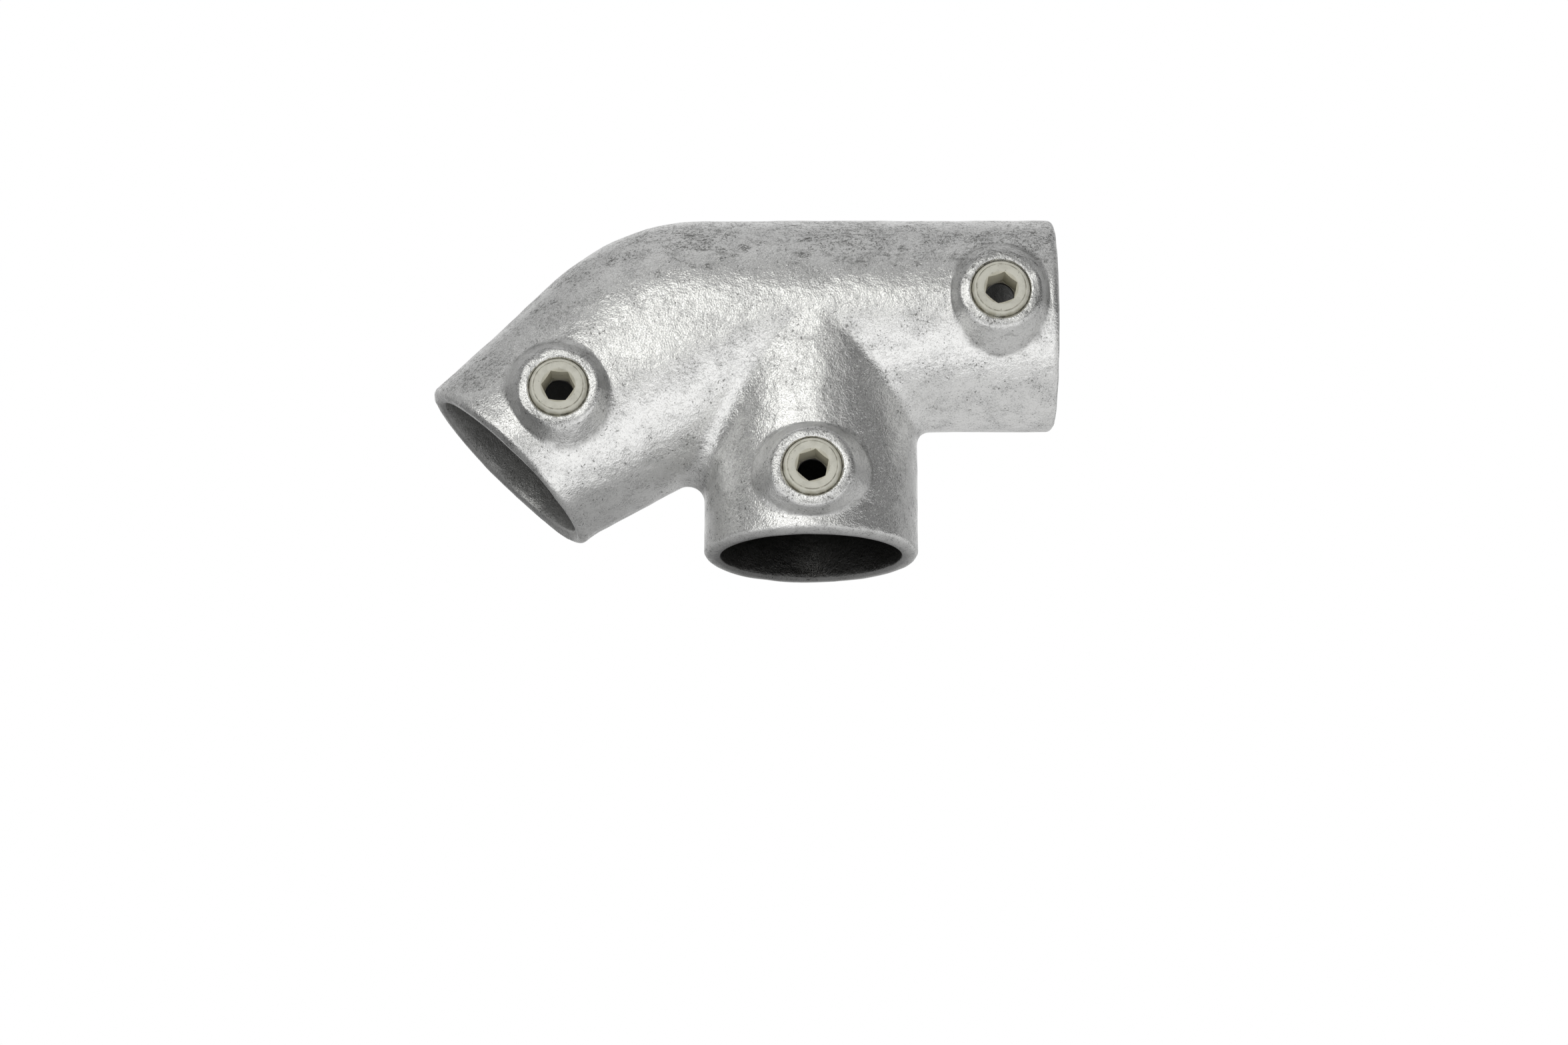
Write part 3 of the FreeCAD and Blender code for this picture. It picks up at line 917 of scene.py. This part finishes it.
# Hot-dipped zinc, flecked above, and darker there with painted shade of the tops. Hair lines lie where a noise
# passes its middle, broken by another.
def zincFinish(piece):
    shader, start, coords = newFinish("dipped_zinc", piece)
    part = {name: attribute(start, name) for name in ("inside", "flank", "upper", "bossTop", "foot")}
    field = {name: noise(coords, *values) for name, values in zinc["noises"].items()}
    mottle, cloud, grains = (field[name] - 0.5 for name in ("mottle", "cloud", "spangle"))
    clean, thin, covers, shift = (zinc[name] for name in ("cleanLeast", "thinLeast", "covers", "shifts"))

    # eased rise between the mask's own edges
    def mask(name, value):
        return eased(value, zinc["edges"][name])

    # upward faces gather real flecks, and their duller colour is painted shade of the tops
    weathered = mask("weathered", part["upper"] + cloud * shift["weathered"] + grains * shift["grains"])
    dulled = mask("dull", field["mottle"]) * zinc["mottleDull"] + weathered * zinc["weatheredDull"]
    thick = mask("thick", field["cloud"] + mottle * shift["thick"])
    pitted = mask("pit", field["pit"] + mottle * shift["pit"])
    offMiddle = start.node("Math", {0: field["hair"] - 0.5}, operation="ABSOLUTE")
    hair = (1 - mask("hair", offMiddle)) * mask("broken", field["broken"])
    stroke = mask("stroke", field["stroke"])
    patch = mask("patch", field["patch"]) * mask("patchGrain", field["grain"])
    marksAndShade = dict(
        hair=hair * atLeast(clean["hair"], weathered) * atLeast(thin["hair"], thick),
        smudge=mask("smudge", field["broken"] + cloud * shift["smudge"]) * weathered * thick,
        speck=mask("speck", field["speck"] + mottle * shift["speck"] + part["bossTop"] * shift["onBoss"]),
        stroke=stroke * atLeast(clean["stroke"], weathered) * atLeast(thin["stroke"], thick),
        patch=patch * atLeast(clean["patch"], mask("patchUpper", part["upper"])),
        # painted shade along the foot crease of each boss
        foot=part["foot"] * mask("foot", field["mottle"]),
    )
    marked = 0.0
    for name, layer in marksAndShade.items():
        marked = start.reckon("MAXIMUM", marked, layer * zinc["marksAndShade"][name])
    part.update(weathered=weathered, marked=marked)
    colour = blend(dulled, grey(*zinc["bright"]), grey(*zinc["dull"]))
    # the bores are darkened with painted shade, deepest furthest in; the flecks also carry painted shade at the
    # boss feet
    layers = dict(
        spangle=mask("spangle", field["spangle"]) * covers["spangle"],
        flank=part["flank"] * covers["flank"] + part["bossTop"] * covers["bossTop"],
        pit=pitted * covers["pit"], fleck=marked, hollow=part["inside"] * covers["inside"],
    )
    for name, layer in layers.items():
        colour = blend(layer, colour, grey(*zinc[name]))
    colour.into(shader, "Base Color")
    rough = toward(zinc["smooth"], zinc["matt"], dulled)
    for name, more in zinc["roughens"].items():
        rough = rough + part[name] * more
    rough.into(shader, "Roughness")
    (zinc["metal"] - zinc["metalLoss"] * part["inside"]).into(shader, "Metallic")
    depth = 0.0
    for name, height in zinc["bumps"].items():
        depth = depth + field[name] * height
    for name, less in zinc["calms"].items():
        depth = depth * (1 - less * part[name])
    depth = (depth - marked * zinc["markDepth"]) * mm
    start.node("Bump", {"Height": depth, "Distance": 1.0}).into(shader, "Normal")


zincFinish(clampPiece)

coat = dict(
    pale=(0.70, 0.69, 0.61, 1),
    colours=dict(worn=(0.56, 0.55, 0.48, 1), olive=(0.44, 0.42, 0.31, 1), key=(0.66, 0.63, 0.50, 1),
                 grooveDark=(0.16, 0.14, 0.10, 1), fleck=(0.16, 0.14, 0.10, 1), holeShadeBlack=(0.012, 0.011, 0.010, 1)),
    shares=dict(worn=0.6, olive=0.7, key=0.75, grooveDark=0.7, fleck=0.5, holeShadeBlack=1.0),
    noises=dict(fine=(0.5, 3, 0.6), patch=(2.6, 3, 0.55), grooveDark=(1.6, 3, 0.6), fleck=(0.7, 2, 0.5)),
    edges=dict(worn=(0.45, 0.7), olive=(0.3, 0.6), grooveDark=(0.38, 0.66), fleck=(0.66, 0.74)),
    smooth=0.46, roughSpread=0.16, metal=0.35, grainHeight=0.02,
)


# Matt flake coating: olive on the rim, darker in the groove and below the rim, painted shade in the drilled
# hole.
def flakeFinish(piece):
    shader, start, coords = newFinish("flake_coat", piece)
    field = {name: noise(coords, *values) for name, values in coat["noises"].items()}
    edges = coat["edges"]
    layers = dict(
        worn=eased(field["patch"], edges["worn"]),
        olive=attribute(start, "outerRim") * eased(field["patch"], edges["olive"]),
        key=attribute(start, "keyHole"),
        grooveDark=attribute(start, "lined") * eased(field["grooveDark"], edges["grooveDark"]),
        fleck=eased(field["fleck"], edges["fleck"]),
        holeShadeBlack=attribute(start, "holeShade"),
    )
    colour = coat["pale"]
    for name, layer in layers.items():
        colour = blend(layer * coat["shares"][name], colour, coat["colours"][name])
    colour.into(shader, "Base Color")
    (coat["smooth"] + field["fine"] * coat["roughSpread"]).into(shader, "Roughness")
    shader.inputs["Metallic"].default_value = coat["metal"]
    grain = field["fine"] * (coat["grainHeight"] * mm)
    start.node("Bump", {"Height": grain, "Distance": 1.0}).into(shader, "Normal")


for piece in screwPieces:
    flakeFinish(piece)
print("finishes: dipped zinc, flake coat")

room = dict(
    place=(-14.183, -1033.965, -266.847), turn=(104.9996, 0.1543, -0.3317), lens=88.78, sensor=36, nearest=0.01,
    floorSize=6.0, floorWhite=0.86, floorRough=0.9, floorGloss=0.1,
    floorShade=0.5,  # share of its own light and shade
    floorDrop=0.25,  # the lip dips a little below its plane
    # greys that the metal sees round it, with their ends, and the even light
    skyLeft=0.26, skyRight=0.13, skyHigh=0.34, skyAbove=0.40, skyBehind=0.90, skyFill=0.62,
    leftToRight=(-0.8, 0.8), highFrom=(0.45, 0.8), highBefore=(-0.3, 0.1),
    overBack=0.8, overUp=0.5, aboveFrom=(0.15, 0.6), behindFrom=(0.74, 0.95),
    # painted light and shade of the floor that the metal sees: a bright pool in front, darker further off, a
    # painted shadow under the foot, with their ends
    floorPool=1.0, floorFront=0.76, floorFar=0.16, floorLeft=0.32, floorRight=0.62, floorFootShadow=0.55,
    frontEdge=(-0.038, -0.017), edgeBend=0.022, edgeBendAt=(-0.045, 0.03), edgeEnd=0.01,
    edgeEndAt=(0.045, 0.075), frontLeft=(-0.085, -0.06), frontRight=(0.1, 0.2), frontLoss=0.7,
    poolNear=(-0.32, -0.15), poolRight=(0.085, 0.15), farToLeft=(-0.12, -0.05), under=(-0.06, 0.03),
    footShadowEdge=(0.027, 0.034),
)


# Camera fitted to the photograph, in millimetres and degrees.
def addCamera():
    lens = bpy.data.cameras.new("camera")
    lens.lens, lens.sensor_width, lens.clip_start = (room[key] for key in ("lens", "sensor", "nearest"))
    camera = addObject("camera", lens)
    camera.location = [value * mm for value in room["place"]]
    camera.rotation_euler = [radians(value) for value in room["turn"]]
    bpy.context.scene.camera = camera


# A grey moved towards each further one by its share.
def layered(first, further):
    level = room[first]
    for name, share in further.items():
        level = toward(level, room[name], share)
    return level


# The floor is seen from above only: the camera is a little below the clamp's foot.
def addFloor():
    mesh = bpy.data.meshes.new("floor")
    corners = room["floorSize"] / 2 * np.array([(-1, -1, 0), (1, -1, 0), (1, 1, 0), (-1, 1, 0)])
    mesh.from_pydata(corners - (0, 0, room["floorDrop"] * mm), [], [(0, 1, 2, 3)])
    floor = addObject("floor", mesh)
    shader, start, coords = newFinish("pale_floor", floor)
    shader.inputs["Base Color"].default_value = grey(room["floorWhite"])
    shader.inputs["Roughness"].default_value = room["floorRough"]
    shader.inputs["Specular IOR Level"].default_value = room["floorGloss"]
    right, ahead = (start.node("SeparateXYZ", {0: coords}, k) for k in (0, 1))

    # eased rise from left to right
    def across(name):
        return eased(right, room[name])

    edge = ahead + room["edgeBend"] * across("edgeBendAt") + room["edgeEnd"] * across("edgeEndAt")
    front = (1 - eased(edge, room["frontEdge"])) * across("frontLeft")
    # the metal sees a painted pool of light in front and darker floor further off
    seen = layered("floorFar", dict(
        floorLeft=across("farToLeft"), floorRight=across("under"),
        floorFront=front * (1 - room["frontLoss"] * across("frontRight")),
        floorPool=front * eased(ahead, room["poolNear"]) * (1 - across("poolRight"))))
    fromFoot = start.node("VectorMath", {0: coords}, "Value", operation="LENGTH")
    # painted shadow on the floor under the clamp's foot
    seen = seen * atLeast(room["floorFootShadow"], eased(fromFoot, room["footShadowEdge"]))
    camera, glossy = raysOf(start)
    behind = start.node("NewGeometry", {}, "Backfacing")
    clear = start.node("BsdfTransparent", {})
    glow = start.node("Emission", {"Color": blend(camera + glossy * seen, grey(0.0), grey(1.0))})
    shown = start.node("MixShader", {0: glossy + camera * room["floorShade"], 1: start, 2: glow})
    sided = start.node("MixShader", {0: behind, 1: shown, 2: clear})
    sided.into(floor.data.materials[0].node_tree.nodes["Material Output"], "Surface")


# White to the camera, greys by direction to the metal, one even level for light.
def addWorld():
    world = bpy.data.worlds.new("studio")
    bpy.context.scene.world = world
    world.use_nodes = True
    shader = world.node_tree.nodes["Background"]
    start = Wire(shader.outputs[0])
    way = start.node("TexCoord", {}, "Generated")
    right, deep, up = (start.node("SeparateXYZ", {0: way}, k) for k in (0, 1, 2))
    over = deep * room["overBack"] + up * room["overUp"]
    seen = layered("skyLeft", dict(
        skyRight=eased(right, room["leftToRight"]),
        skyHigh=eased(up, room["highFrom"]) * (1 - eased(deep, room["highBefore"])),
        skyAbove=eased(over, room["aboveFrom"]), skyBehind=eased(over, room["behindFrom"])))
    camera, glossy = raysOf(start)
    level = toward(toward(room["skyFill"], seen, glossy), 1.0, camera)
    blend(level, grey(0.0), grey(1.0)).into(shader, "Color")


softBoxes = dict(
    front_box=dict(place=(-0.65, -1.38, 0.49), aim=(-0.02, 0, 0.05), size=(1.5, 0.85), power=4.65, blue=0.975),
    right_box=dict(place=(0.34, -1.46, 0.49), aim=(-0.02, 0, 0.05), size=(0.8, 0.85), power=0.8, blue=0.975),
    top_box=dict(place=(-0.3, -0.2, 1.5), aim=(0, 0, 0.05), size=(1.2, 1.2), power=0.9, blue=1.0),
)


# Lamp turned to its aim: tipped by the angle of the way, then swung to its heading.
def addSoftBox(name, place, aim, size, power, blue):
    lamp = bpy.data.lights.new(name, "AREA")
    lamp.color = (1.0, 1.0, blue)
    lamp.shape = "RECTANGLE"
    lamp.size, lamp.size_y = size
    lamp.energy = power
    box = addObject(name, lamp)
    box.location = place
    flow = np.array(aim) - np.array(place)
    tip = acos(-flow[2] / norm(flow))
    box.rotation_euler = (tip, 0, atan2(flow[1], flow[0]) - pi / 2)


addCamera()
addFloor()
addWorld()
for name, box in softBoxes.items():
    addSoftBox(name, **box)
bpy.context.scene.view_settings.view_transform = "Standard"
print("studio: camera, floor, world and soft boxes")
